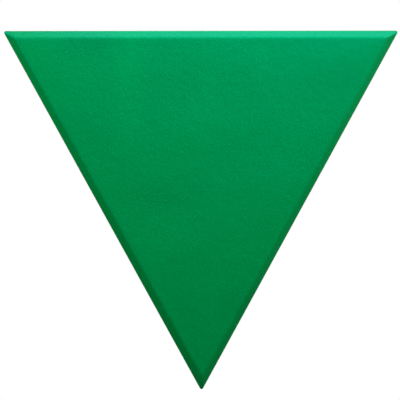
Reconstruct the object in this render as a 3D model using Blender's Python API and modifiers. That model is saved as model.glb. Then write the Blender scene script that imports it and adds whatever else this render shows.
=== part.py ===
"""Builds a triangular wall panel that is upholstered in leatherette and hangs on a Z clip.

Metres, +Z up. The wall is the plane Y = 0 and the panel's face looks along -Y. The origin is the
middle of the wall clip's back. The panel's straight edge is on top and its point hangs down.
"""

import math

import bmesh
import bpy
from mathutils import Matrix, Vector

MM = 0.001
GAP = 0.3 * MM  # clearance between pieces that touch

# Driving dimensions of the upholstered panel
PANEL_WIDTH = 330 * MM  # along the top edge, to the sharp corners
PANEL_HEIGHT = 300.5 * MM
CORNER_RADIUS = 1.5 * MM
FACE_BEVEL = 5.3 * MM  # each leg of the finished bevel
BOARD_THICKNESS = 12 * MM
FOAM_THICKNESS = 3 * MM
COVER_THICKNESS = 1 * MM
HEM_WIDTH = 25 * MM
TOP_EDGE_Z = 80 * MM

# Staples along each hem
STAPLES_PER_SIDE = 6
STAPLE_INSET = 14 * MM  # from the panel's edge to the line of crowns
STAPLE_WIDTH = 10.6 * MM
STAPLE_LEG = 5.8 * MM
WIRE_THICKNESS = 0.7 * MM
WIRE_WIDTH = 1.2 * MM

# Z clip: two bent strips of one profile, the second turned over behind the first
CLIP_LENGTH = 120 * MM
STRIP_THICKNESS = 2 * MM
FLANGE_HEIGHT = 20 * MM
TONGUE_HEIGHT = 14 * MM
JOGGLE = STRIP_THICKNESS + 2 * GAP
BEND_RADIUS = 2 * MM  # at mid-thickness
SLOT_LENGTH = 9 * MM
SLOT_WIDTH = 5 * MM
FIXING_SPACING = 45 * MM  # between neighbouring fixings along a clip

# Pan-head screws of the panel clip
SCREW_RADIUS = 1.75 * MM
SCREW_LENGTH = 11.3 * MM
HEAD_RADIUS = 3.3 * MM
HEAD_HEIGHT = 2 * MM
SCREW_HOLE_RADIUS = SCREW_RADIUS + GAP
RECESS_LENGTH = 3.6 * MM
RECESS_WIDTH = 0.9 * MM
RECESS_DEPTH = 1.2 * MM

SPACER_RADIUS = 6 * MM

# Planes across the depth, from the wall at 0 to the face
CLIP_FRONT_Y = -(2 * STRIP_THICKNESS + 3 * GAP)
BOARD_BACK_Y = CLIP_FRONT_Y - GAP
BOARD_FRONT_Y = BOARD_BACK_Y - BOARD_THICKNESS
HEM_FRONT_Y = BOARD_BACK_Y + GAP
HEM_BACK_Y = HEM_FRONT_Y + COVER_THICKNESS
FOAM_DEPTH = COVER_THICKNESS + GAP  # below the finished face
FOAM_CORE_DEPTH = FOAM_DEPTH + FOAM_THICKNESS
BOARD_DEPTH = FOAM_CORE_DEPTH + GAP
FACE_Y = BOARD_FRONT_Y - BOARD_DEPTH
SIDE_INSET = COVER_THICKNESS + GAP  # from the finished edge to the board's edge

# Heights of the clip's parts. At rest the panel clip's joggle sits on the wall clip's tongue.
LEAN = math.radians(45)  # of the joggle
BEND_SHIFT = STRIP_THICKNESS / 2 * math.tan(LEAN / 2)
TONGUE_TOP_Z = FLANGE_HEIGHT / 2 + JOGGLE + TONGUE_HEIGHT
SEAT_GAP = (math.sqrt(2) - 1) * GAP
PANEL_CLIP_Z = TONGUE_TOP_Z + FLANGE_HEIGHT / 2 + JOGGLE + BEND_SHIFT + SEAT_GAP

PAST = 2 * MM  # how far a cutter runs past what it cuts
ROUND_STEPS = 24
ARC_STEPS = 4

CORNERS = (
    Vector((-PANEL_WIDTH / 2, TOP_EDGE_Z)),
    Vector((0, TOP_EDGE_Z - PANEL_HEIGHT)),
    Vector((PANEL_WIDTH / 2, TOP_EDGE_Z)),
)


def remove_everything():
    for obj in list(bpy.data.objects):
        bpy.data.objects.remove(obj, do_unlink=True)


def new_collection(name):
    collection = bpy.data.collections.new(name)
    bpy.context.scene.collection.children.link(collection)
    return collection


def linear(channel):
    """One sRGB channel from 0 to 255, as linear light."""
    value = channel / 255
    return value / 12.92 if value <= 0.04045 else ((value + 0.055) / 1.055) ** 2.4


def new_material(name, srgb, roughness, metallic=0):
    material = bpy.data.materials.new(name)
    material.use_nodes = True
    shader = material.node_tree.nodes["Principled BSDF"]
    shader.inputs["Base Color"].default_value = (*map(linear, srgb), 1)
    shader.inputs["Roughness"].default_value = roughness
    shader.inputs["Metallic"].default_value = metallic
    return material


def new_object(name, mesh, collection, material=None):
    obj = bpy.data.objects.new(name, mesh)
    collection.objects.link(obj)
    if material and not mesh.materials:
        mesh.materials.append(material)
    return obj


def as_cutter(obj):
    obj.hide_render = True
    obj.display_type = "WIRE"
    return obj


def boolean(obj, other, operation="DIFFERENCE"):
    modifier = obj.modifiers.new(other.name, "BOOLEAN")
    modifier.operation = operation
    modifier.object = other


def shade_smooth(mesh, degrees=35):
    mesh.shade_smooth()
    mesh.set_sharp_from_angle(angle=math.radians(degrees))


# Outlines


def arc(centre, radius, start, end, steps=ARC_STEPS):
    """Points from angle start to angle end about centre."""
    angles = (start + (end - start) * i / steps for i in range(steps + 1))
    return [centre + radius * Vector((math.cos(a), math.sin(a))) for a in angles]


def inset_corners(inset):
    """The panel's triangle with each side moved inwards by inset, scaled about its incentre."""
    sides = [(CORNERS[i - 1] - CORNERS[i - 2]).length for i in range(3)]
    around = sum(sides)
    centre = sum((c * s for c, s in zip(CORNERS, sides)), Vector((0, 0))) / around
    incircle = PANEL_WIDTH * PANEL_HEIGHT / around
    return [centre + (c - centre) * (1 - inset / incircle) for c in CORNERS]


def rounded_triangle(radius):
    """The panel's outline, counterclockwise, with a tangent arc at each corner."""
    centres = inset_corners(radius)
    points = []
    for i, centre in enumerate(centres):
        before = CORNERS[i] - CORNERS[i - 1]
        after = CORNERS[(i + 1) % 3] - CORNERS[i]
        start = math.atan2(before.y, before.x) - math.pi / 2
        turn = before.angle_signed(after) * -1
        points += arc(centre, radius, start, start + turn)
    return points


def slot_outline(centre, length, width):
    """A slot along X with round ends."""
    radius = width / 2
    end = Vector((length / 2 - radius, 0))
    right = arc(centre + end, radius, -math.pi / 2, math.pi / 2)
    return right + arc(centre - end, radius, math.pi / 2, 3 * math.pi / 2)


def bent_strip_outline():
    """The clip's section: flange, joggle and tongue, with a bend at each end of the joggle.

    The first coordinate is the distance from the wall and the second is the height. The middle
    line goes up the flange, leans 45 degrees away from the wall, and straightens again.
    """
    half = STRIP_THICKNESS / 2
    tangent = BEND_RADIUS * math.tan(LEAN / 2)
    low = Vector((-half, FLANGE_HEIGHT / 2))
    high = low + Vector((-JOGGLE, JOGGLE))
    first = Vector((low.x - BEND_RADIUS, low.y - tangent))
    second = Vector((high.x + BEND_RADIUS, high.y + tangent))
    bottom = -FLANGE_HEIGHT / 2
    wide, tight = BEND_RADIUS + half, BEND_RADIUS - half
    wall_side = [Vector((0, bottom))]
    wall_side += arc(first, wide, 0, LEAN)
    wall_side += arc(second, tight, math.pi + LEAN, math.pi)
    wall_side += [Vector((high.x + half, TONGUE_TOP_Z))]
    room_side = [Vector((high.x - half, TONGUE_TOP_Z))]
    room_side += arc(second, wide, math.pi, math.pi + LEAN)
    room_side += arc(first, tight, LEAN, 0)
    room_side += [Vector((-STRIP_THICKNESS, bottom))]
    return wall_side + room_side


def staple_outline():
    """A staple's section: the crown lies along X at Y = 0 and the legs run along +Y."""
    half = STAPLE_WIDTH / 2
    bend = WIRE_THICKNESS
    inner = half - WIRE_THICKNESS
    heel = STAPLE_LEG - WIRE_THICKNESS  # a chisel point leans from here to the leg's tip
    corner = Vector((half - bend, bend))
    right = arc(corner, bend, -math.pi / 2, 0)
    right += [Vector((half, STAPLE_LEG)), Vector((inner, heel)), Vector((inner, bend))]
    left = [Vector((-p.x, p.y)) for p in reversed(right)]
    return right + left


# Meshes


def extruded(name, outline, thickness):
    """A flat outline in its own XY plane, thickened evenly to both sides and welded."""
    curve = bpy.data.curves.new(name, "CURVE")
    curve.dimensions = "2D"
    curve.fill_mode = "BOTH"
    curve.extrude = thickness / 2
    spline = curve.splines.new("POLY")
    spline.points.add(len(outline) - 1)
    for point, place in zip(spline.points, outline):
        point.co = (place.x, place.y, 0, 1)
    spline.use_cyclic_u = True
    drawn = bpy.data.objects.new(name, curve)
    bpy.context.scene.collection.objects.link(drawn)
    graph = bpy.context.evaluated_depsgraph_get()
    mesh = bpy.data.meshes.new_from_object(drawn.evaluated_get(graph))
    bpy.data.objects.remove(drawn)
    bpy.data.curves.remove(curve)
    shape = bmesh.new()
    shape.from_mesh(mesh)
    bmesh.ops.remove_doubles(shape, verts=shape.verts, dist=0.001 * MM)
    bmesh.ops.recalc_face_normals(shape, faces=shape.faces)
    shape.to_mesh(mesh)
    shape.free()
    mesh.name = name
    return mesh


def slab(name, outline, back, front, collection, material=None):
    """A flat outline in the wall's plane, solid from Y = back to Y = front."""
    obj = new_object(name, extruded(name, outline, back - front), collection, material)
    obj.location.y = (back + front) / 2
    obj.rotation_euler.x = math.pi / 2
    return obj


def bevelled_triangle(name, inset, depth, back, collection, material=None):
    """A triangle whose face lies depth under the finished face, with its face's rim bevelled.

    The bevel keeps its distance, depth, from the finished bevel too, so layers nest evenly.
    """
    obj = slab(name, inset_corners(inset), back, FACE_Y + depth, collection, material)
    mesh = obj.data
    front = max(v.co.z for v in mesh.vertices)
    rim = {v.index for v in mesh.vertices if front - v.co.z < GAP}
    weights = mesh.attributes.new("bevel_weight_edge", "FLOAT", "EDGE")
    for edge in mesh.edges:
        weights.data[edge.index].value = float(rim.issuperset(edge.vertices))
    bevel = obj.modifiers.new("mitred_bevel", "BEVEL")
    bevel.limit_method = "WEIGHT"
    bevel.segments = 1
    bevel.width = FACE_BEVEL + depth * math.sqrt(2) - inset - depth
    return obj


def turned(name, profile, collection, material):
    """A solid of revolution about Z. The profile is (radius, height) pairs, top to bottom."""
    mesh = bpy.data.meshes.new(name)
    points = [(radius, 0, height) for radius, height in profile]
    mesh.from_pydata(points, [(i, i + 1) for i in range(len(points) - 1)], [])
    obj = new_object(name, mesh, collection, material)
    screw = obj.modifiers.new("turning", "SCREW")
    screw.steps = ROUND_STEPS
    screw.render_steps = ROUND_STEPS
    screw.use_merge_vertices = True
    screw.merge_threshold = 0.001 * MM
    screw.use_smooth_shade = True
    return obj


def box_cutter(name, sizes_and_places, collection):
    """One cutter of several boxes, each with its size and its place as a matrix."""
    shape = bmesh.new()
    for size, place in sizes_and_places:
        bmesh.ops.create_cube(shape, size=1, matrix=place @ Matrix.Diagonal((*size, 1)))
    mesh = bpy.data.meshes.new(name)
    shape.to_mesh(mesh)
    shape.free()
    return as_cutter(new_object(name, mesh, collection))


def cylinder_cutter(name, radius, back, front, places, collection):
    """One cutter of several cylinders along Y, from Y = back to Y = front."""
    shape = bmesh.new()
    for place in places:
        centre = Matrix.Translation((place.x, (back + front) / 2, place.y))
        bmesh.ops.create_cone(
            shape,
            cap_ends=True,
            segments=ROUND_STEPS,
            radius1=radius,
            radius2=radius,
            depth=back - front,
            matrix=centre @ Matrix.Rotation(math.pi / 2, 4, "X"),
        )
    mesh = bpy.data.meshes.new(name)
    shape.to_mesh(mesh)
    shape.free()
    return as_cutter(new_object(name, mesh, collection))


# Places


def staple_places():
    """Each staple's place in the wall's plane, with its crown's angle, side by side."""
    line = inset_corners(STAPLE_INSET)
    places = []
    for i, start in enumerate(line):
        run = line[(i + 1) % 3] - start
        for k in range(STAPLES_PER_SIDE):
            middle = start + run * (k + 0.5) / STAPLES_PER_SIDE
            places.append((middle, math.atan2(run.y, run.x)))
    return places


def screw_places():
    return [Vector((i * FIXING_SPACING, PANEL_CLIP_Z)) for i in (-1, 0, 1)]


# The pieces


def add_cover(parts, cutters, material, leg_holes):
    cover = bevelled_triangle("cover", 0, 0, HEM_BACK_Y, parts, material)
    rounding = slab(
        "corner_rounding",
        rounded_triangle(CORNER_RADIUS),
        HEM_BACK_Y + PAST,
        FACE_Y - PAST,
        cutters,
    )
    cavity = bevelled_triangle(
        "cover_cavity", COVER_THICKNESS, COVER_THICKNESS, HEM_FRONT_Y, cutters
    )
    window = slab(
        "hem_window", inset_corners(HEM_WIDTH), HEM_BACK_Y + PAST, BOARD_BACK_Y, cutters
    )
    boolean(cover, as_cutter(rounding), "INTERSECT")
    boolean(cover, as_cutter(cavity))
    boolean(cover, as_cutter(window))
    boolean(cover, leg_holes)
    return cover


def add_foam(parts, cutters, material):
    foam_back = FACE_Y + 2 * BOARD_DEPTH + PAST
    foam = bevelled_triangle("foam_pad", SIDE_INSET, FOAM_DEPTH, foam_back, parts, material)
    core = bevelled_triangle(
        "foam_core", COVER_THICKNESS, FOAM_CORE_DEPTH, foam_back + PAST, cutters
    )
    boolean(foam, as_cutter(core))
    return foam


def add_board(parts, material, leg_holes, screw_holes):
    board = bevelled_triangle(
        "backing_board", SIDE_INSET, BOARD_DEPTH, BOARD_BACK_Y, parts, material
    )
    boolean(board, leg_holes)
    boolean(board, screw_holes)
    return board


def add_leg_holes(cutters):
    """Clearance for both legs of each staple, through the hem and into the board."""
    back = HEM_BACK_Y + PAST / 4
    front = HEM_BACK_Y + GAP + WIRE_THICKNESS - STAPLE_LEG - 2 * GAP
    size = (WIRE_THICKNESS + 2 * GAP, back - front, WIRE_WIDTH + 2 * GAP)
    reach = (STAPLE_WIDTH - WIRE_THICKNESS) / 2
    placed = []
    for middle, angle in staple_places():
        turn = Matrix.Translation((middle.x, 0, middle.y)) @ Matrix.Rotation(-angle, 4, "Y")
        for side in (-1, 1):
            leg = Matrix.Translation((side * reach, (back + front) / 2, 0))
            placed.append((size, turn @ leg))
    return box_cutter("staple_leg_holes", placed, cutters)


def add_staples(parts, material):
    mesh = extruded("hem_staple", staple_outline(), WIRE_WIDTH)
    mesh.materials.append(material)
    crown_y = HEM_BACK_Y + GAP + WIRE_THICKNESS
    staples = []
    for i, (middle, angle) in enumerate(staple_places()):
        staple = new_object(f"hem_staple_{i + 1:02d}", mesh, parts)
        staple.location = (middle.x, crown_y, middle.y)
        staple.rotation_euler = (math.pi, -angle, 0)
        staples.append(staple)
    return staples


def add_clips(parts, cutters, material, screw_holes):
    wall_clip = new_object(
        "wall_clip", extruded("wall_clip", bent_strip_outline(), CLIP_LENGTH), parts, material
    )
    wall_clip.rotation_euler = (math.pi / 2, 0, math.pi / 2)
    for side, word in ((-1, "left"), (1, "right")):
        place = Vector((side * FIXING_SPACING, 0))
        slot = slab(
            f"wall_screw_slot_{word}",
            slot_outline(place, SLOT_LENGTH, SLOT_WIDTH),
            PAST,
            -STRIP_THICKNESS - PAST,
            cutters,
        )
        boolean(wall_clip, as_cutter(slot))
    panel_clip = new_object(
        "panel_clip", extruded("panel_clip", bent_strip_outline(), CLIP_LENGTH), parts, material
    )
    panel_clip.location = (0, CLIP_FRONT_Y, PANEL_CLIP_Z)
    panel_clip.rotation_euler = (-math.pi / 2, 0, -math.pi / 2)
    boolean(panel_clip, screw_holes)
    for clip in (wall_clip, panel_clip):
        shade_smooth(clip.data)
    return wall_clip, panel_clip


def add_screws(parts, cutters, material):
    """Pan-head screws from the back, with their heads on the panel clip's flange."""
    profile = [
        (0, HEAD_HEIGHT),
        (HEAD_RADIUS * 0.5, HEAD_HEIGHT),
        (HEAD_RADIUS * 0.82, HEAD_HEIGHT * 0.82),
        (HEAD_RADIUS * 0.97, HEAD_HEIGHT * 0.45),
        (HEAD_RADIUS, 0),
        (SCREW_RADIUS, 0),
        (SCREW_RADIUS, SCREW_RADIUS * 2 - SCREW_LENGTH),
        (0, -SCREW_LENGTH),
    ]
    under_head = CLIP_FRONT_Y + STRIP_THICKNESS + GAP
    recess_y = under_head + HEAD_HEIGHT
    sizes = (
        (RECESS_LENGTH, 2 * RECESS_DEPTH, RECESS_WIDTH),
        (RECESS_WIDTH, 2 * RECESS_DEPTH, RECESS_LENGTH),
    )
    screws = []
    for word, place in zip(("left", "middle", "right"), screw_places()):
        screw = turned(f"panel_clip_screw_{word}", profile, parts, material)
        screw.location = (place.x, under_head, place.y)
        screw.rotation_euler.x = -math.pi / 2
        centre = Matrix.Translation((place.x, recess_y, place.y))
        for name, size in zip(("flat", "upright"), sizes):
            recess = box_cutter(f"recess_{word}_{name}", [(size, centre)], cutters)
            boolean(screw, recess)
        screws.append(screw)
    return screws


def add_spacers(parts, material):
    """Rubber bumpers on the hem's three corners, as tall as the space to the wall."""
    foot = HEM_BACK_Y + GAP
    profile = [
        (0, -foot),
        (SPACER_RADIUS * 0.55, -foot),
        (SPACER_RADIUS * 0.82, -foot * 0.88),
        (SPACER_RADIUS * 0.96, -foot * 0.6),
        (SPACER_RADIUS, -foot * 0.25),
        (SPACER_RADIUS, 0),
        (0, 0),
    ]
    spacers = []
    for word, place in zip(("left", "bottom", "right"), inset_corners(STAPLE_INSET)):
        spacer = turned(f"spacer_{word}", profile, parts, material)
        spacer.location = (place.x, foot, place.y)
        spacer.rotation_euler.x = -math.pi / 2
        spacers.append(spacer)
    return spacers


def add_lift_axis(parts, pieces):
    """The panel's pieces hang from one empty on the line along which the panel lifts."""
    axis = bpy.data.objects.new("panel_lift_axis", None)
    axis.empty_display_size = FLANGE_HEIGHT
    parts.objects.link(axis)
    for piece in pieces:
        piece.parent = axis


def main():
    remove_everything()
    parts = new_collection("upholstered_triangle_panel")
    cutters = new_collection("cutters")
    leatherette = new_material("leatherette", (1, 143, 80), 0.5)
    foam_grey = new_material("foam", (222, 218, 200), 0.95)
    board_brown = new_material("fibreboard", (150, 116, 78), 0.8)
    zinc = new_material("zinc_plated_steel", (190, 192, 194), 0.35, 1)
    aluminium = new_material("aluminium", (200, 202, 204), 0.4, 1)
    rubber = new_material("rubber", (40, 40, 42), 0.75)

    leg_holes = add_leg_holes(cutters)
    screw_holes = cylinder_cutter(
        "screw_holes",
        SCREW_HOLE_RADIUS,
        CLIP_FRONT_Y + STRIP_THICKNESS + PAST,
        CLIP_FRONT_Y + STRIP_THICKNESS - SCREW_LENGTH - GAP,
        screw_places(),
        cutters,
    )
    cover = add_cover(parts, cutters, leatherette, leg_holes)
    foam = add_foam(parts, cutters, foam_grey)
    board = add_board(parts, board_brown, leg_holes, screw_holes)
    staples = add_staples(parts, zinc)
    wall_clip, panel_clip = add_clips(parts, cutters, aluminium, screw_holes)
    screws = add_screws(parts, cutters, zinc)
    spacers = add_spacers(parts, rubber)
    add_lift_axis(parts, [cover, foam, board, panel_clip, *staples, *screws, *spacers])


main()
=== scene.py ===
"""Looks of a triangular wall panel that is upholstered in green leatherette and hangs on a Z clip.

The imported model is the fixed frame. Metres, +Z up; the wall is Y = 0 and the panel faces -Y. The
soft and turned pieces are surfaces computed with numpy; the board and the clips keep their shapes.
"""

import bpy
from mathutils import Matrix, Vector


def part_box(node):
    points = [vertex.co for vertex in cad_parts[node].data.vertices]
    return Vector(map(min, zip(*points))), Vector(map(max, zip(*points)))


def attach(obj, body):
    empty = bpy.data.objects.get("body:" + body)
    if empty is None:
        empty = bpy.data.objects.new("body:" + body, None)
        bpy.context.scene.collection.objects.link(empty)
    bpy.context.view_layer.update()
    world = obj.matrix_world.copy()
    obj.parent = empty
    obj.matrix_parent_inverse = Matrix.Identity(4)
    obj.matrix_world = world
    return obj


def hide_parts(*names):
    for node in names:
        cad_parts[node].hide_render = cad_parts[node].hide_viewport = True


bl_info = {
    "name": "Upholstered triangle panel",
    "version": (1, 0, 0),
    "blender": (4, 5, 0),
    "location": "View3D > Sidebar > Wall panel",
    "description": "Covers a bevelled triangular wall panel in leatherette and finishes its parts",
    "category": "Add Mesh",
}

import math

import bmesh
import bpy
import numpy as np
from bpy.props import FloatProperty, FloatVectorProperty, IntProperty, PointerProperty
from mathutils import Quaternion, Vector

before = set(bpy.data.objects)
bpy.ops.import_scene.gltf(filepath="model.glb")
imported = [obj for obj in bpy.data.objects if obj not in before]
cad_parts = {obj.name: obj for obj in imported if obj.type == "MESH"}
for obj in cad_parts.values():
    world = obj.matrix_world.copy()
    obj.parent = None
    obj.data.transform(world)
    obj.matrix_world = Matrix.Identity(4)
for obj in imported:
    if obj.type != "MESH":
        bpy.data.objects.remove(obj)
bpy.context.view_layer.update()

MM = 0.001
PANEL = "panel"  # the body of everything that lifts off
COVER_LOW, COVER_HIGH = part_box("cover")
FOAM_LOW, FOAM_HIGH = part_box("foam_pad")
BOARD_LOW, BOARD_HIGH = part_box("backing_board")
TOP_Z = COVER_HIGH.z
FACE_Y = COVER_LOW.y
COVER_DEPTH = COVER_HIGH.y - FACE_Y  # from the face to the back of the hem
FOAM_DEPTH = FOAM_LOW.y - FACE_Y
FOAM_END_DEPTH = FOAM_HIGH.y - FACE_Y
BOARD_DEPTH = BOARD_LOW.y - FACE_Y
SIDE_INSET = TOP_Z - BOARD_HIGH.z  # from the finished edge to the board's edge
GAP = SIDE_INSET - MM  # the leatherette is 1 mm thick
HUB = 0.5 * MM  # radius of the smallest ring, round the incentre

STAPLES = sorted(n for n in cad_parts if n.startswith("hem_staple"))
SCREWS = sorted(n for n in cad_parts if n.startswith("panel_clip_screw"))
SPACERS = sorted(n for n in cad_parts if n.startswith("spacer"))


# Name, degrees to the right and above the face's own line, metres away, metres wide, watts, colour
SOFTBOXES = (
    ("overhead", 70, 80, 0.6, 0.5, 2.8, "#8FF9FF"),
    ("front", 20, 35, 0.6, 0.6, 2.4, "#8FF9FF"),
    ("right", 75, 10, 1.2, 0.6, 12.5, "#8FF9FF"),
    ("left", -55, 15, 1, 0.5, 8.5, "#8FF9FF"),
    ("behind_left", -150, 35, 1.2, 1.8, 9, "#FFFFFF"),
    ("behind_right", 155, 5, 1.4, 1.8, 9, "#FFFFFF"),
)

# Middle across and up, reach across and up, all in mm, and gain in lightness, of each cloud painted on
# the skin's green: painted light where the gain is above nought, painted shade where it is below
PAINTED_LIGHT_CLOUDS = (
    (-60, 45, 12, 35, 0.11),
    (5, 35, 12, 35, 0.05),
    (55, 65, 25, 10, 0.04),
    (-95, 70, 20, 10, -0.1),
    (-105, 0, 15, 15, -0.04),
    (120, 45, 15, 15, -0.05),
    (-30, -55, 30, 15, -0.06),
    (35, -105, 20, 10, 0.04),
    (30, -145, 20, 10, -0.07),
)


# Colours and nodes


def linear(code):
    """An sRGB hex colour as linear red, green, blue and alpha."""
    channels = (int(code[i : i + 2], 16) / 255 for i in (1, 3, 5))
    return (*(c / 12.92 if c <= 0.04045 else ((c + 0.055) / 1.055) ** 2.4 for c in channels), 1)


def add_node(tree, kind, inputs, **settings):
    """Adds a node. inputs maps a socket to a value, or to the output that drives it."""
    made = tree.nodes.new(kind)
    for name, value in settings.items():
        setattr(made, name, value)
    for key, value in inputs.items():
        if isinstance(value, bpy.types.NodeSocket):
            tree.links.new(value, made.inputs[key])
        else:
            made.inputs[key].default_value = value
    return made


MIX_A, MIX_B, MIX_COLOUR = 6, 7, 2  # a colour Mix node's sockets
LOW_IN, HIGH_IN, LOW_OUT, HIGH_OUT = 1, 2, 3, 4  # a Map Range node's sockets


def new_material(name, **sockets):
    """An empty material with a Principled shader, its node tree and its Object coordinates."""
    material = bpy.data.materials.new(name)
    material.use_nodes = True
    tree = material.node_tree
    shader = tree.nodes["Principled BSDF"]
    for key, value in sockets.items():
        shader.inputs[key.replace("_", " ")].default_value = value
    place = add_node(tree, "ShaderNodeTexCoord", {}).outputs["Object"]
    return material, tree, shader, place


def leatherette(colours):
    """PVC leatherette, calendered on knit and embossed with a pebble grain.

    The eye sees low pebbles with narrow creases between them, which break up a soft satin gloss,
    a faint pucker a few millimetres across, and a green that drifts slowly over the sheet. The
    green is a little deeper in the creases, which is painted shade, and the tone attribute lays
    painted light and shade over it in soft clouds.
    """
    material, tree, shader, place = new_material(
        "embossed_pvc_leatherette",
        IOR=1.5,
        Specular_IOR_Level=1,
        Specular_Tint=linear("#00FFF4"),
    )
    wander = add_node(
        tree, "ShaderNodeTexNoise", {"Vector": place, "Scale": 1 / (3 * MM), "Detail": 1}
    )
    shifted = add_node(
        tree,
        "ShaderNodeVectorMath",
        {0: wander.outputs["Color"], 1: (1.1 * MM,) * 3, 2: place},
        operation="MULTIPLY_ADD",
    )
    pebbles = add_node(
        tree,
        "ShaderNodeTexVoronoi",
        {"Vector": shifted.outputs[0], "Scale": 1 / (colours.grain_size), "Randomness": 0.9},
        feature="DISTANCE_TO_EDGE",
    )
    crease = add_node(
        tree,
        "ShaderNodeMapRange",
        {"Value": pebbles.outputs["Distance"], LOW_IN: 0.02, HIGH_IN: 0.32, LOW_OUT: 0, HIGH_OUT: 1},
        interpolation_type="SMOOTHSTEP",
    )
    pores = add_node(
        tree,
        "ShaderNodeTexNoise",
        {"Vector": place, "Scale": 1 / (0.9 * MM), "Detail": 3, "Roughness": 0.6},
    )
    fine = add_node(
        tree,
        "ShaderNodeMath",
        {0: pores.outputs["Fac"], 1: 0.35, 2: crease.outputs[0]},
        operation="MULTIPLY_ADD",
    )
    pucker = add_node(
        tree,
        "ShaderNodeTexNoise",
        {"Vector": place, "Scale": 1 / (9 * MM), "Detail": 2, "Roughness": 0.6},
    )
    height = add_node(
        tree,
        "ShaderNodeMath",
        {0: pucker.outputs["Fac"], 1: 9, 2: fine.outputs[0]},
        operation="MULTIPLY_ADD",
    )
    relief = add_node(
        tree,
        "ShaderNodeBump",
        {"Height": height.outputs[0], "Distance": colours.grain_depth, "Strength": 1},
    )
    drift = add_node(
        tree,
        "ShaderNodeTexNoise",
        {"Vector": place, "Scale": 1 / (60 * MM), "Detail": 3, "Roughness": 0.55},
    )
    # Painted shade: the creases take a deeper green than the pebbles
    light_green, crease_shade_green = (*colours.leather, 1), (*colours.leather_crease_shade, 1)
    crease_shaded = add_node(
        tree,
        "ShaderNodeMix",
        {0: crease.outputs[0], MIX_A: crease_shade_green, MIX_B: light_green},
        data_type="RGBA",
    )
    fade = add_node(
        tree,
        "ShaderNodeMapRange",
        {"Value": drift.outputs["Fac"], LOW_IN: 0.3, HIGH_IN: 0.7, LOW_OUT: 0.975, HIGH_OUT: 1.025},
    )
    # Painted light and shade: the tone attribute brightens and darkens the green in soft clouds, on top
    # of the slow random drift
    painted_light = add_node(tree, "ShaderNodeAttribute", {}, attribute_name="tone")
    tone = add_node(
        tree,
        "ShaderNodeMath",
        {0: fade.outputs[0], 1: painted_light.outputs["Fac"]},
        operation="MULTIPLY",
    )
    toned = add_node(
        tree,
        "ShaderNodeVectorMath",
        {0: crease_shaded.outputs[MIX_COLOUR], "Scale": tone.outputs[0]},
        operation="SCALE",
    )
    gloss = add_node(
        tree,
        "ShaderNodeMapRange",
        {"Value": pores.outputs["Fac"], LOW_IN: 0.3, HIGH_IN: 0.7, LOW_OUT: 0.39, HIGH_OUT: 0.5},
    )
    tree.links.new(toned.outputs[0], shader.inputs["Base Color"])
    tree.links.new(gloss.outputs[0], shader.inputs["Roughness"])
    tree.links.new(relief.outputs[0], shader.inputs["Normal"])
    return material


def knit_backing():
    """White polyester knit, the back of leatherette: a matte fabric with fine ribs."""
    material, tree, shader, place = new_material("polyester_knit", Roughness=0.95)
    ribs = add_node(
        tree,
        "ShaderNodeTexWave",
        {"Vector": place, "Scale": 1 / (6 * MM), "Distortion": 1.5, "Detail": 2},
        bands_direction="DIAGONAL",
    )
    fuzz = add_node(
        tree, "ShaderNodeTexNoise", {"Vector": place, "Scale": 1 / (0.8 * MM), "Detail": 3}
    )
    thread = add_node(
        tree,
        "ShaderNodeMath",
        {0: ribs.outputs["Fac"], 1: fuzz.outputs["Fac"]},
        operation="MULTIPLY",
    )
    colour = add_node(
        tree,
        "ShaderNodeMix",
        {0: thread.outputs[0], MIX_A: linear("#A9AEA8"), MIX_B: linear("#E4E6E0")},
        data_type="RGBA",
    )
    relief = add_node(
        tree, "ShaderNodeBump", {"Height": thread.outputs[0], "Distance": 0.15 * MM}
    )
    tree.links.new(colour.outputs[MIX_COLOUR], shader.inputs["Base Color"])
    tree.links.new(relief.outputs[0], shader.inputs["Normal"])
    return material


def open_cell_foam():
    """Polyurethane foam sheet: off-white, dull, full of half-millimetre cells, each darker in its hollow
    as painted shade.
    """
    material, tree, shader, place = new_material("polyurethane_foam", Roughness=0.95)
    cells = add_node(
        tree, "ShaderNodeTexVoronoi", {"Vector": place, "Scale": 1 / (0.8 * MM)}
    )
    # Painted shade: the colour darkens towards each cell's middle, where the bump sinks lowest
    colour = add_node(
        tree,
        "ShaderNodeMix",
        {0: cells.outputs["Distance"], MIX_A: linear("#B9B097"), MIX_B: linear("#EDE8D6")},
        data_type="RGBA",
    )
    relief = add_node(
        tree, "ShaderNodeBump", {"Height": cells.outputs["Distance"], "Distance": 0.3 * MM}
    )
    tree.links.new(colour.outputs[MIX_COLOUR], shader.inputs["Base Color"])
    tree.links.new(relief.outputs[0], shader.inputs["Normal"])
    return material


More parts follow.
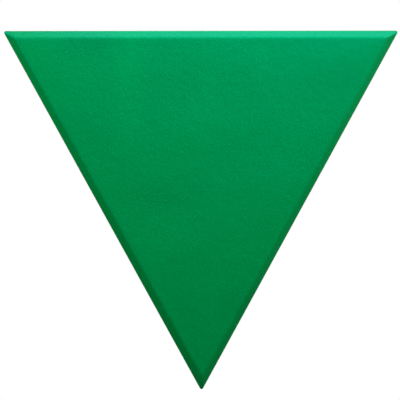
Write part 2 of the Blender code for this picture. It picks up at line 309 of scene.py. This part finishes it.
def fibreboard():
    """Medium-density fibreboard, sanded: warm brown with short pressed fibres and dust-pale flecks."""
    material, tree, shader, place = new_material("sanded_mdf", Roughness=0.85)
    stretched = add_node(
        tree, "ShaderNodeMapping", {"Vector": place, "Scale": (1, 1, 0.35)}
    )
    fibres = add_node(
        tree,
        "ShaderNodeTexNoise",
        {"Vector": stretched.outputs[0], "Scale": 1 / (1.6 * MM), "Detail": 5, "Roughness": 0.7},
    )
    blotches = add_node(
        tree, "ShaderNodeTexNoise", {"Vector": place, "Scale": 1 / (45 * MM), "Detail": 3}
    )
    flecked = add_node(
        tree,
        "ShaderNodeMapRange",
        {"Value": fibres.outputs["Fac"], LOW_IN: 0.32, HIGH_IN: 0.68},
    )
    grain = add_node(
        tree,
        "ShaderNodeMix",
        {0: flecked.outputs[0], MIX_A: linear("#8A6A45"), MIX_B: linear("#BB9A70")},
        data_type="RGBA",
    )
    shade = add_node(
        tree,
        "ShaderNodeMapRange",
        {"Value": blotches.outputs["Fac"], LOW_IN: 0.3, HIGH_IN: 0.7, LOW_OUT: 0.88, HIGH_OUT: 1.08},
    )
    toned = add_node(
        tree,
        "ShaderNodeVectorMath",
        {0: grain.outputs[MIX_COLOUR], "Scale": shade.outputs[0]},
        operation="SCALE",
    )
    relief = add_node(
        tree, "ShaderNodeBump", {"Height": fibres.outputs["Fac"], "Distance": 0.08 * MM}
    )
    tree.links.new(toned.outputs[0], shader.inputs["Base Color"])
    tree.links.new(relief.outputs[0], shader.inputs["Normal"])
    return material


def extruded_aluminium():
    """Mill-finish aluminium extrusion: silver with fine die lines along the strip, along X."""
    material, tree, shader, place = new_material("extruded_aluminium", Metallic=1)
    along = add_node(
        tree, "ShaderNodeMapping", {"Vector": place, "Scale": (0.02, 1, 1)}
    )
    lines = add_node(
        tree,
        "ShaderNodeTexNoise",
        {"Vector": along.outputs[0], "Scale": 1 / (0.5 * MM), "Detail": 3, "Roughness": 0.7},
    )
    cloud = add_node(
        tree, "ShaderNodeTexNoise", {"Vector": place, "Scale": 1 / (14 * MM), "Detail": 2}
    )
    colour = add_node(
        tree,
        "ShaderNodeMix",
        {0: lines.outputs["Fac"], MIX_A: linear("#A9ACAF"), MIX_B: linear("#DCDEE0")},
        data_type="RGBA",
    )
    dull = add_node(
        tree,
        "ShaderNodeMapRange",
        {"Value": cloud.outputs["Fac"], LOW_IN: 0.3, HIGH_IN: 0.7, LOW_OUT: 0.3, HIGH_OUT: 0.46},
    )
    relief = add_node(
        tree, "ShaderNodeBump", {"Height": lines.outputs["Fac"], "Distance": 0.02 * MM}
    )
    tree.links.new(colour.outputs[MIX_COLOUR], shader.inputs["Base Color"])
    tree.links.new(dull.outputs[0], shader.inputs["Roughness"])
    tree.links.new(relief.outputs[0], shader.inputs["Normal"])
    return material


def zinc_plated_steel():
    """Zinc-plated steel, drawn or cold-headed: cool grey, faintly spangled, a little cloudy."""
    material, tree, shader, place = new_material("zinc_plated_steel", Metallic=1)
    spangle = add_node(
        tree, "ShaderNodeTexNoise", {"Vector": place, "Scale": 1 / (1.2 * MM), "Detail": 2}
    )
    colour = add_node(
        tree,
        "ShaderNodeMix",
        {0: spangle.outputs["Fac"], MIX_A: linear("#9DA1A6"), MIX_B: linear("#D6D9DC")},
        data_type="RGBA",
    )
    dull = add_node(
        tree,
        "ShaderNodeMapRange",
        {"Value": spangle.outputs["Fac"], LOW_IN: 0.3, HIGH_IN: 0.7, LOW_OUT: 0.26, HIGH_OUT: 0.42},
    )
    tree.links.new(colour.outputs[MIX_COLOUR], shader.inputs["Base Color"])
    tree.links.new(dull.outputs[0], shader.inputs["Roughness"])
    return material


def moulded_rubber():
    """Moulded black rubber: matte, with a fine sparked texture and a dusty bloom."""
    material, tree, shader, place = new_material("moulded_rubber", IOR=1.52)
    spark = add_node(
        tree, "ShaderNodeTexNoise", {"Vector": place, "Scale": 1 / (0.5 * MM), "Detail": 2}
    )
    bloom = add_node(
        tree, "ShaderNodeTexNoise", {"Vector": place, "Scale": 1 / (5 * MM), "Detail": 2}
    )
    colour = add_node(
        tree,
        "ShaderNodeMix",
        {0: bloom.outputs["Fac"], MIX_A: linear("#19191A"), MIX_B: linear("#37373A")},
        data_type="RGBA",
    )
    dull = add_node(
        tree,
        "ShaderNodeMapRange",
        {"Value": bloom.outputs["Fac"], LOW_IN: 0.3, HIGH_IN: 0.7, LOW_OUT: 0.6, HIGH_OUT: 0.8},
    )
    relief = add_node(
        tree, "ShaderNodeBump", {"Height": spark.outputs["Fac"], "Distance": 0.03 * MM}
    )
    tree.links.new(colour.outputs[MIX_COLOUR], shader.inputs["Base Color"])
    tree.links.new(dull.outputs[0], shader.inputs["Roughness"])
    tree.links.new(relief.outputs[0], shader.inputs["Normal"])
    return material


# Surfaces


def triangle(shape):
    """The panel's sharp corners in the wall's plane, counterclockwise, its incentre and incircle."""
    corners = np.array(
        [
            (-shape.width / 2, TOP_Z),
            (0, TOP_Z - shape.height),
            (shape.width / 2, TOP_Z),
        ]
    )
    opposite = np.linalg.norm(np.roll(corners, -1, 0) - np.roll(corners, 1, 0), axis=1)
    centre = (corners * opposite[:, None]).sum(0) / opposite.sum()
    return corners, centre, shape.width * shape.height / opposite.sum()


def rings(shape, insets, radii):
    """Outlines inside the triangle, one row for each inset, with a tangent arc at each corner.

    An arc's centre is the corner of the triangle inset by inset + radius, and the arc turns from
    one side's outward normal to the next one's. Straight runs join the arcs. Returns the points
    and outward normals, each shaped (rows, columns, 2).
    """
    corners, centre, incircle = triangle(shape)
    runs = np.roll(corners, -1, 0) - corners
    outward = np.arctan2(runs[:, 1], runs[:, 0]) - np.pi / 2
    share = 1 - (insets + radii) / incircle
    turns = np.linspace(0, 1, shape.corner_steps + 1)[None, :, None]
    along = np.linspace(0, 1, shape.side_steps + 1)[None, 1:-1, None]
    arcs, normals, places, facing = [], [], [], []
    for i, corner in enumerate(corners):
        angle = outward[i - 1] + (outward[i] - outward[i - 1]) % (2 * np.pi) * turns
        normal = np.concatenate([np.cos(angle), np.sin(angle)], 2)
        middle = centre + (corner - centre) * share[:, None]
        arcs.append(middle[:, None] + radii[:, None, None] * normal)
        normals.append(np.broadcast_to(normal, arcs[-1].shape))
    for i in range(3):
        begin, end = arcs[i][:, -1:], arcs[(i + 1) % 3][:, :1]
        side = begin + (end - begin) * along
        places += [arcs[i], side]
        facing += [normals[i], np.broadcast_to(normals[i][:, -1:], side.shape)]
    return np.concatenate(places, 1), np.concatenate(facing, 1)


def rounded_path(points, radii, spacing):
    """A path of straight runs with a tangent arc at each inner point, as (n, 2) points.

    Each arc starts and ends radius * tan(turn / 2) from its corner. spacing is the step along
    each run, one for each run; an arc has a point about every eight degrees.
    """
    points = [np.array(p, float) for p in points]
    pieces = []
    for before, corner, after, radius in zip(points, points[1:], points[2:], radii):
        into = (corner - before) / np.linalg.norm(corner - before)
        away = (after - corner) / np.linalg.norm(after - corner)
        cross = into[0] * away[1] - into[1] * away[0]
        turn = np.arctan2(cross, into @ away)
        reach = radius * math.tan(abs(turn) / 2)
        left = np.array([-into[1], into[0]]) * np.sign(turn)
        centre = corner - into * reach + left * radius
        steps = max(2, round(math.degrees(abs(turn)) / 8))
        angles = np.linspace(0, turn, steps + 1)[:, None]
        arm = -left * radius
        pieces.append(
            centre + np.cos(angles) * arm + np.sin(angles) * np.array([-arm[1], arm[0]])
        )
    path = [points[0][None]]
    for piece, step in zip([*pieces, points[-1][None]], spacing):
        begin, end = path[-1][-1], piece[0]
        count = max(1, round(np.linalg.norm(end - begin) / step))
        path.append(begin + (end - begin) * np.linspace(0, 1, count + 1)[1:-1, None])
        path.append(piece)
    return np.concatenate(path)


def swell(shape, inset, x, z):
    """How far the padded face stands proud of flat, in metres.

    It rises from the bevel's break line as one minus an exponential of the inset. It carries
    slow waves of the stretched sheet, a sum of cosines in random directions.
    """
    rim = 14 * MM
    rise = 1 - np.exp(-np.clip(inset - shape.bevel, 0, None) / rim)
    count, shortest, longest = 18, 38 * MM, 120 * MM
    chance = np.random.default_rng(11)
    heading = chance.uniform(0, np.pi, count)
    wavelength = chance.uniform(shortest, longest, count)
    phase = chance.uniform(0, 2 * np.pi, count)
    waves = np.zeros_like(x)
    for a, w, p in zip(heading, wavelength, phase):
        waves += w * np.cos((x * np.cos(a) + z * np.sin(a)) * 2 * np.pi / w + p)
    waves *= shape.wave_slope / (2 * np.pi) * math.sqrt(2 / count)
    return rise * (shape.crown + waves)


def grid_faces(rows, columns):
    """Quads of a grid that is closed along its columns, as (n, 4) vertex numbers."""
    row = np.arange(rows - 1)[:, None] * columns
    column = np.arange(columns)[None]
    after = (column + 1) % columns
    quads = np.stack([row + column, row + after, row + columns + after, row + columns + column], -1)
    return quads.reshape(-1, 4)


def closed_mesh(name, points, materials=(), rows_of_second=()):
    """A closed tube of rows, shaped (rows, columns, 3), whose first and last rows end in a pole.

    Each pole is the mean of its row. Rows numbered in rows_of_second take the second material.
    """
    rows, columns, _ = points.shape
    poles = np.stack([points[0].mean(0), points[-1].mean(0)])
    vertices = np.concatenate([points.reshape(-1, 3), poles])
    quads = grid_faces(rows, columns)
    column = np.arange(columns)
    after = (column + 1) % columns
    first = np.stack([np.full(columns, rows * columns), after, column], -1)
    last_row = (rows - 1) * columns
    last = np.stack(
        [np.full(columns, rows * columns + 1), last_row + column, last_row + after], -1
    )
    mesh = bpy.data.meshes.new(name)
    loops = np.concatenate([quads.ravel(), first.ravel(), last.ravel()])
    sizes = np.concatenate([np.full(len(quads), 4), np.full(2 * columns, 3)])
    mesh.vertices.add(len(vertices))
    mesh.vertices.foreach_set("co", vertices.astype(np.float32).ravel())
    mesh.loops.add(len(loops))
    mesh.loops.foreach_set("vertex_index", loops)
    mesh.polygons.add(len(sizes))
    mesh.polygons.foreach_set("loop_start", np.concatenate([[0], np.cumsum(sizes)[:-1]]))
    for material in materials:
        mesh.materials.append(material)
    second = np.isin(np.arange(rows - 1), rows_of_second)
    numbers = np.concatenate([np.repeat(second, columns), [False] * columns, [True] * columns])
    if len(materials) > 1:
        mesh.polygons.foreach_set("material_index", numbers.astype(np.int32))
    mesh.update(calc_edges=True)
    outward_faces(mesh)
    mesh.shade_smooth()
    mesh.validate()
    return mesh


def outward_faces(mesh):
    """Turns a closed mesh's faces outwards."""
    shape = bmesh.new()
    shape.from_mesh(mesh)
    bmesh.ops.recalc_face_normals(shape, faces=shape.faces)
    shape.to_mesh(mesh)
    shape.free()


def new_piece(name, mesh, body, slot, *stands_for):
    """Links a finished piece that sits at the origin, rides on a body and replaces CAD nodes."""
    piece = bpy.data.objects.new(name, mesh)
    bpy.context.scene.collection.objects.link(piece)
    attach(piece, body)
    if stands_for:
        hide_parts(*stands_for)
    return piece


def finish_node(name, material):
    """Gives a CAD node's own mesh its finish."""
    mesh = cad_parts[name].data
    mesh.materials.clear()
    mesh.materials.append(material)


def lathe(name, profile, columns, centre, material):
    """A turned piece: each (radius, height) of the profile is carried once round the +Y axis."""
    profile = np.array(profile)
    angle = np.linspace(0, 2 * np.pi, columns, endpoint=False)
    radius = profile[:, :1] * np.ones_like(angle)
    height = profile[:, 1:] * np.ones_like(angle)
    points = np.stack(
        [radius * np.cos(angle) + centre.x, height + centre.y, radius * np.sin(angle) + centre.z],
        -1,
    )
    return closed_mesh(name, points, [material])


# Settings


class PanelShape(bpy.types.PropertyGroup):
    width: FloatProperty(
        name="Width", description="Top edge, to the sharp corners", default=0.330, unit="LENGTH"
    )
    height: FloatProperty(
        name="Height", description="Top edge to the point", default=0.3005, unit="LENGTH"
    )
    bevel: FloatProperty(
        name="Bevel", description="Each leg of the finished bevel", default=0.0056, unit="LENGTH"
    )
    sheet: FloatProperty(
        name="Leatherette", description="Thickness of the sheet", default=0.001, unit="LENGTH"
    )
    hem: FloatProperty(
        name="Hem", description="Width of the hem on the back", default=0.025, unit="LENGTH"
    )
    corner: FloatProperty(
        name="Corner radius", description="Rounding of the points", default=0.0015, unit="LENGTH"
    )
    mitre: FloatProperty(
        name="Mitre radius", description="Fold where bevels meet", default=0.0004, unit="LENGTH"
    )
    crown: FloatProperty(
        name="Crown", description="How far the foam lifts the face", default=0.0004, unit="LENGTH"
    )
    side_draw: FloatProperty(
        name="Side draw", description="Share of the inset drawn to the right", default=0.07
    )
    hem_pillow: FloatProperty(
        name="Hem pillow", description="Rise of the hem's middle", default=0.0006, unit="LENGTH"
    )
    hem_fold: FloatProperty(
        name="Hem fold", description="Depth of the corner folds", default=0.0005, unit="LENGTH"
    )
    wave_slope: FloatProperty(
        name="Wave slope", description="Slope of the slow waves on the face", default=0.009
    )
    corner_steps: IntProperty(
        name="Corner steps", description="Columns round each corner", default=12
    )
    side_steps: IntProperty(
        name="Side steps", description="Columns along each side", default=180
    )


class PanelFinish(bpy.types.PropertyGroup):
    leather: FloatVectorProperty(
        name="Leatherette",
        description="Colour of the grain's pebbles",
        subtype="COLOR",
        default=linear("#00802E")[:3],
    )
    # Painted shade: the creases' colour is a darker green than the pebbles'
    leather_crease_shade: FloatVectorProperty(
        name="Creases",
        description="Colour of the grain's creases",
        subtype="COLOR",
        default=linear("#007B2A")[:3],
    )
    grain_size: FloatProperty(
        name="Grain", description="Width of a pebble", default=0.0022, unit="LENGTH"
    )
    grain_depth: FloatProperty(
        name="Grain depth", description="Depth of the creases", default=0.000025, unit="LENGTH"
    )


class StudioSettings(bpy.types.PropertyGroup):
    field: FloatProperty(
        name="Field", description="Width of the view at the panel", default=0.333, unit="LENGTH"
    )
    aim_below_top: FloatProperty(
        name="Aim", description="View's centre under the top edge", default=0.1408, unit="LENGTH"
    )
    aim_side: FloatProperty(
        name="Aim aside", description="View's centre to the right", default=-0.0014, unit="LENGTH"
    )
    swing: FloatProperty(
        name="Swing", description="Camera to the right", default=math.radians(-2.5), unit="ROTATION"
    )
    rise: FloatProperty(
        name="Rise", description="Camera above", default=math.radians(1.8), unit="ROTATION"
    )
    roll: FloatProperty(
        name="Roll", description="Camera's roll", default=math.radians(-0.06), unit="ROTATION"
    )
    lens: FloatProperty(name="Lens", description="Focal length in mm", default=500)
    lamps_below_top: FloatProperty(
        name="Lamps' aim", description="Point lit, under the top edge", default=0.12, unit="LENGTH"
    )
    floor_drop: FloatProperty(
        name="Floor", description="Floor under the panel's point", default=0.53, unit="LENGTH"
    )


# The pieces


def skin_rows(shape):
    """The cover's section, from the face's centre round to the hem's cut edge and back inside.

    Each row is (inset from the finished edge, depth under the finished face). The outer path
    follows the face, the bevel, the side and the hem; the inner path lies one thickness below.
    Its arcs are at the break line, the outer edge and the hem's fold.
    """
    last = triangle(shape)[2] - HUB
    thick, bevel, back = shape.sheet, shape.bevel, COVER_DEPTH
    outer = rounded_path(
        [(last, 0), (bevel, 0), (0, bevel), (0, back), (shape.hem, back)],
        radii=[3.4 * MM, 1.6 * MM, 1.3 * MM],
        spacing=[1.65 * MM, 1 * MM, 1.5 * MM, 1.6 * MM],
    )
    leg = bevel + thick * (math.sqrt(2) - 1)
    inner = rounded_path(
        [(shape.hem, back - thick), (thick, back - thick), (thick, leg), (leg, thick), (last, thick)],
        radii=[0.4 * MM, 0.6 * MM, 2.4 * MM],
        spacing=[6 * MM, 5 * MM, 4 * MM, 9 * MM],
    )
    return outer, inner


def corner_radii(shape, insets, front):
    """Radius of a ring's corners.

    It is the point's own at the edge, dies away over the bevel to the mitre's tight fold, and
    grows with a power of the way in from the bevel until the ring at the centre is a circle. The
    power is less in front, where the face smooths the fold out, than along the hem.
    """
    incircle = triangle(shape)[2]
    share = np.clip((insets - shape.bevel) / (incircle - shape.bevel), 0, 1)
    fading, face_power, hem_power = 1.2 * MM, 1.3, 2
    fold = shape.mitre + (shape.corner - shape.mitre) * np.exp(-insets / fading)
    power = np.where(front, face_power, hem_power)
    return fold * (1 - share) + (incircle - insets) * share**power


def carried_section(shape, rows, in_front):
    """Carries a section of (inset, depth) rows round the outline.

    Rows in front take the swell. They're also drawn sideways to the right, by a share of their
    inset that fades out on the face, so the right-hand bevel is a little narrower than the left.
    """
    insets, depths = rows[:, :1], rows[:, 1:]
    flat, outward = rings(shape, rows[:, 0], corner_radii(shape, rows[:, 0], in_front))
    front = in_front[:, None]
    drawn = shape.side_draw * insets * np.exp(-((insets / (4 * shape.bevel)) ** 2)) * front
    flat = flat + outward * (drawn * outward[..., 0])[..., None]
    x, z = flat[..., 0], flat[..., 1]
    y = FACE_Y + depths - swell(shape, insets, x, z) * front
    return np.stack([x, y, z], -1)


def painted_light_tone(points):
    """Painted light and shade on the skin at each point: one, plus a Gaussian in x and z for each cloud.
    """
    x, z = points[..., 0] / MM, points[..., 2] / MM
    tone = np.ones_like(x)
    for middle_x, middle_z, across, up, gain in PAINTED_LIGHT_CLOUDS:
        tone += gain * np.exp(-(((x - middle_x) / across) ** 2) - ((z - middle_z) / up) ** 2)
    return tone


def hem_relief(shape, points):
    """How far the hem's outside stands out towards the wall: pillowed, and pinched at staples.

    It is a low pillow over the hem's width, less a Gaussian dent at each staple, less a narrow
    groove along each corner's bisector, where the hem is folded over.
    """
    x, z = points[..., 0], points[..., 2]
    dent_reach, fold_reach, fold_run = 7 * MM, 0.7 * MM, 3 * shape.hem
    dent = np.zeros_like(x)
    for name in STAPLES:
        low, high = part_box(name)
        middle = (low + high) / 2
        dent += np.exp(-((x - middle.x) ** 2 + (z - middle.z) ** 2) / dent_reach**2)
    corners, centre, _ = triangle(shape)
    fold = np.zeros_like(x)
    for corner in corners:
        run = (centre - corner) / np.linalg.norm(centre - corner)
        aside = (x - corner[0]) * run[1] - (z - corner[1]) * run[0]
        near = (x - corner[0]) * run[0] + (z - corner[1]) * run[1] < fold_run
        fold += np.exp(-((aside / fold_reach) ** 2)) * near
    return shape.hem_pillow * (1 - np.clip(dent, 0, 1)) - shape.hem_fold * fold


class WALLPANEL_OT_add_cover(bpy.types.Operator):
    """Stretches the leatherette over the face, the bevels and the sides, and hems it behind"""

    bl_idname = "wallpanel.add_cover"
    bl_label = "Add leatherette cover"

    def execute(self, context):
        shape = context.scene.panel_shape
        outer, inner = skin_rows(shape)
        rows = np.concatenate([outer, inner])
        points = carried_section(shape, rows, rows[:, 1] < shape.bevel)
        behind = slice(np.argmax(outer[:, 1] >= COVER_DEPTH), len(outer) - 1)
        across = rows[behind, 0] / shape.hem
        bulge = 4 * across * (1 - across)  # nothing at the hem's fold and cut edge, one between
        points[behind, :, 1] += bulge[:, None] * hem_relief(shape, points[behind])
        inside = range(len(outer) - 1, len(outer) + len(inner))
        mesh = closed_mesh(
            "leatherette_cover",
            points,
            [leatherette(context.scene.panel_finish), knit_backing()],
            inside,
        )
        # Painted light and shade, kept in the tone attribute for the leatherette's colour
        tone = painted_light_tone(points).ravel()
        layer = mesh.attributes.new("tone", "FLOAT", "POINT")
        poles = [1, 1]
        layer.data.foreach_set("value", np.append(tone, poles).astype(np.float32))
        cover = new_piece("leatherette_cover", mesh, PANEL, "leatherette", "cover")
        # Laid flat, the skin reaches past the outline by what the bevel's slope adds to its
        # width, by the side and by the hem
        return {"FINISHED"}


class WALLPANEL_OT_add_padding(bpy.types.Operator):
    """Lays the foam over the board's face and bevels"""

    bl_idname = "wallpanel.add_padding"
    bl_label = "Add foam padding"

    def execute(self, context):
        shape = context.scene.panel_shape
        last = triangle(shape)[2] - HUB
        side, top, end = SIDE_INSET, FOAM_DEPTH, FOAM_END_DEPTH
        low = BOARD_DEPTH - GAP
        top_line = shape.bevel + top * math.sqrt(2)  # inset + depth along the foam's bevel
        low_line = shape.bevel + low * math.sqrt(2)
        rows = np.concatenate(
            [
                rounded_path(
                    [(last, top), (top_line - top, top), (side, top_line - side), (side, end)],
                    radii=[3 * MM, 1 * MM],
                    spacing=[3 * MM, 2 * MM, 2 * MM],
                ),
                rounded_path(
                    [(side, low_line - side), (low_line - low, low), (last, low)],
                    radii=[0.5 * MM],
                    spacing=[3 * MM, 9 * MM],
                )[1:],
            ]
        )
        points = carried_section(shape, rows, rows[:, 1] < top_line - side)
        mesh = closed_mesh("padding", points, [open_cell_foam()])
        foam = new_piece("padding", mesh, PANEL, "foam", "foam_pad")
        return {"FINISHED"}


class WALLPANEL_OT_finish_board(bpy.types.Operator):
    """Gives the backing board its sanded fibreboard"""

    bl_idname = "wallpanel.finish_board"
    bl_label = "Finish backing board"

    def execute(self, context):
        finish_node("backing_board", fibreboard())
        return {"FINISHED"}


class WALLPANEL_OT_finish_metalwork(bpy.types.Operator):
    """Gives the clips their extruded aluminium, and the staples and screws their zinc plating"""

    bl_idname = "wallpanel.finish_metalwork"
    bl_label = "Finish metalwork"

    def execute(self, context):
        aluminium, zinc = extruded_aluminium(), zinc_plated_steel()
        for name in ("wall_clip", "panel_clip"):
            finish_node(name, aluminium)
        for name in (*STAPLES, *SCREWS):
            finish_node(name, zinc)
        return {"FINISHED"}


class WALLPANEL_OT_add_spacers(bpy.types.Operator):
    """Turns the rubber spacers on the hem's corners"""

    bl_idname = "wallpanel.add_spacers"
    bl_label = "Add rubber spacers"

    def execute(self, context):
        rubber = moulded_rubber()
        for name in SPACERS:
            low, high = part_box(name)
            radius, tall = (high.x - low.x) / 2, high.y - low.y
            centre = Vector(((low.x + high.x) / 2, low.y, (low.z + high.z) / 2))
            profile = rounded_path(
                [(0.2 * MM, 0), (radius, 0), (radius, tall), (0.2 * MM, tall)],
                radii=[0.3 * MM, 2.4 * MM],
                spacing=[2 * MM, 1 * MM, 1 * MM],
            )
            mesh = lathe(name + "_bumper", profile, 64, centre, rubber)
            new_piece(name + "_bumper", mesh, PANEL, "rubber", name)
        return {"FINISHED"}


class WALLPANEL_OT_add_studio(bpy.types.Operator):
    """Adds the pale floor, the soft lights and the camera square to the face"""

    bl_idname = "wallpanel.add_studio"
    bl_label = "Add studio"

    def execute(self, context):
        scene = context.scene
        studio = scene.panel_studio
        scene.view_settings.view_transform = "Standard"
        lay_floor(COVER_LOW.z - studio.floor_drop)
        paint_world(scene)
        centre = Vector((0, FACE_Y, TOP_Z - studio.lamps_below_top))
        for name, turn, rise, distance, size, watts, colour in SOFTBOXES:
            lamp = add_softbox(name, centre, math.radians(turn), math.radians(rise), distance)
            lamp.data.size, lamp.data.energy, lamp.data.color = size, watts, linear(colour)[:3]
        camera = bpy.data.objects.new("camera", bpy.data.cameras.new("camera"))
        scene.collection.objects.link(camera)
        camera.data.lens = studio.lens
        aim = Vector((studio.aim_side, FACE_Y, TOP_Z - studio.aim_below_top))
        away = studio.field * studio.lens / camera.data.sensor_width
        line = sight_line(studio.swing, studio.rise)
        camera.location = aim + line * away
        turned = line.to_track_quat("Z", "Y") @ Quaternion((0, 0, 1), studio.roll)
        camera.rotation_euler = turned.to_euler()
        camera.data.clip_end = 4 * away
        scene.camera = camera
        return {"FINISHED"}


def lay_floor(level):
    """A round floor, one polygon about the origin.

    It is pale mostly by its own light, so the tinted lamps hardly show on it, and only the camera
    sees it, so it neither lights the panel nor shows in its gloss.
    """
    angle = np.linspace(0, 2 * np.pi, 96, endpoint=False)
    radius = 2
    points = np.stack([radius * np.cos(angle), radius * np.sin(angle), 0 * angle + level], -1)
    mesh = bpy.data.meshes.new("floor")
    mesh.from_pydata(points.tolist(), [], [list(range(len(angle)))])
    material, tree, shader, place = new_material(
        "matte_paper_floor",
        Roughness=0.9,
        Emission_Color=linear("#F2F2F0"),
        Emission_Strength=0.86,
    )
    tone = add_node(tree, "ShaderNodeTexNoise", {"Vector": place, "Scale": 3})
    colour = add_node(
        tree,
        "ShaderNodeMix",
        {0: tone.outputs["Fac"], MIX_A: linear("#4C4C4A"), MIX_B: linear("#545452")},
        data_type="RGBA",
    )
    tree.links.new(colour.outputs[MIX_COLOUR], shader.inputs["Base Color"])
    mesh.materials.append(material)
    floor = bpy.data.objects.new("floor", mesh)
    bpy.context.scene.collection.objects.link(floor)
    floor.visible_diffuse = floor.visible_glossy = False


def paint_world(scene):
    """A white room: the camera sees it white, and it lights the panel only faintly."""
    world = bpy.data.worlds.new("white_room")
    world.use_nodes = True
    tree = world.node_tree
    sight = add_node(tree, "ShaderNodeLightPath", {}).outputs["Is Camera Ray"]
    strength = add_node(
        tree, "ShaderNodeMapRange", {"Value": sight, LOW_IN: 0, HIGH_IN: 1, LOW_OUT: 0.02, HIGH_OUT: 1}
    )
    background = tree.nodes["Background"]
    background.inputs["Color"].default_value = (1, 1, 1, 1)
    tree.links.new(strength.outputs[0], background.inputs["Strength"])
    scene.world = world


def sight_line(turn, rise):
    """The unit vector that leaves the face turned to the right and raised, both in radians."""
    flat = math.cos(rise)
    return Vector((math.sin(turn) * flat, -math.cos(turn) * flat, math.sin(rise)))


def add_softbox(name, aim, turn, rise, distance):
    """A square area light that the camera doesn't see and that faces aim along a sight line."""
    lamp = bpy.data.objects.new(name, bpy.data.lights.new(name, "AREA"))
    bpy.context.scene.collection.objects.link(lamp)
    away = sight_line(turn, rise)
    lamp.location = aim + away * distance
    lamp.rotation_euler = away.to_track_quat("Z", "Y").to_euler()
    lamp.visible_camera = False
    return lamp


class VIEW3D_PT_wall_panel(bpy.types.Panel):
    """Lists the panel's settings and its building steps"""

    bl_label = "Wall panel"
    bl_idname = "VIEW3D_PT_wall_panel"
    bl_space_type = "VIEW_3D"
    bl_region_type = "UI"
    bl_category = "Wall panel"

    def draw(self, context):
        for group in (context.scene.panel_shape, context.scene.panel_finish, context.scene.panel_studio):
            box = self.layout.box()
            for key in group.__annotations__:
                box.prop(group, key)
        for step in STEPS:
            self.layout.operator(step.bl_idname)


GROUPS = {
    "panel_shape": PanelShape,
    "panel_finish": PanelFinish,
    "panel_studio": StudioSettings,
}
STEPS = (
    WALLPANEL_OT_add_studio,
    WALLPANEL_OT_add_cover,
    WALLPANEL_OT_add_padding,
    WALLPANEL_OT_finish_board,
    WALLPANEL_OT_finish_metalwork,
    WALLPANEL_OT_add_spacers,
)


def register():
    for group in (*GROUPS.values(), *STEPS, VIEW3D_PT_wall_panel):
        bpy.utils.register_class(group)
    for name, group in GROUPS.items():
        setattr(bpy.types.Scene, name, PointerProperty(type=group))


def unregister():
    for name in GROUPS:
        delattr(bpy.types.Scene, name)
    for group in (VIEW3D_PT_wall_panel, *reversed(STEPS), *GROUPS.values()):
        bpy.utils.unregister_class(group)


def main():
    register()
    for step in STEPS:
        module, name = step.bl_idname.split(".")
        getattr(getattr(bpy.ops, module), name)()


if __name__ == "__main__":
    main()
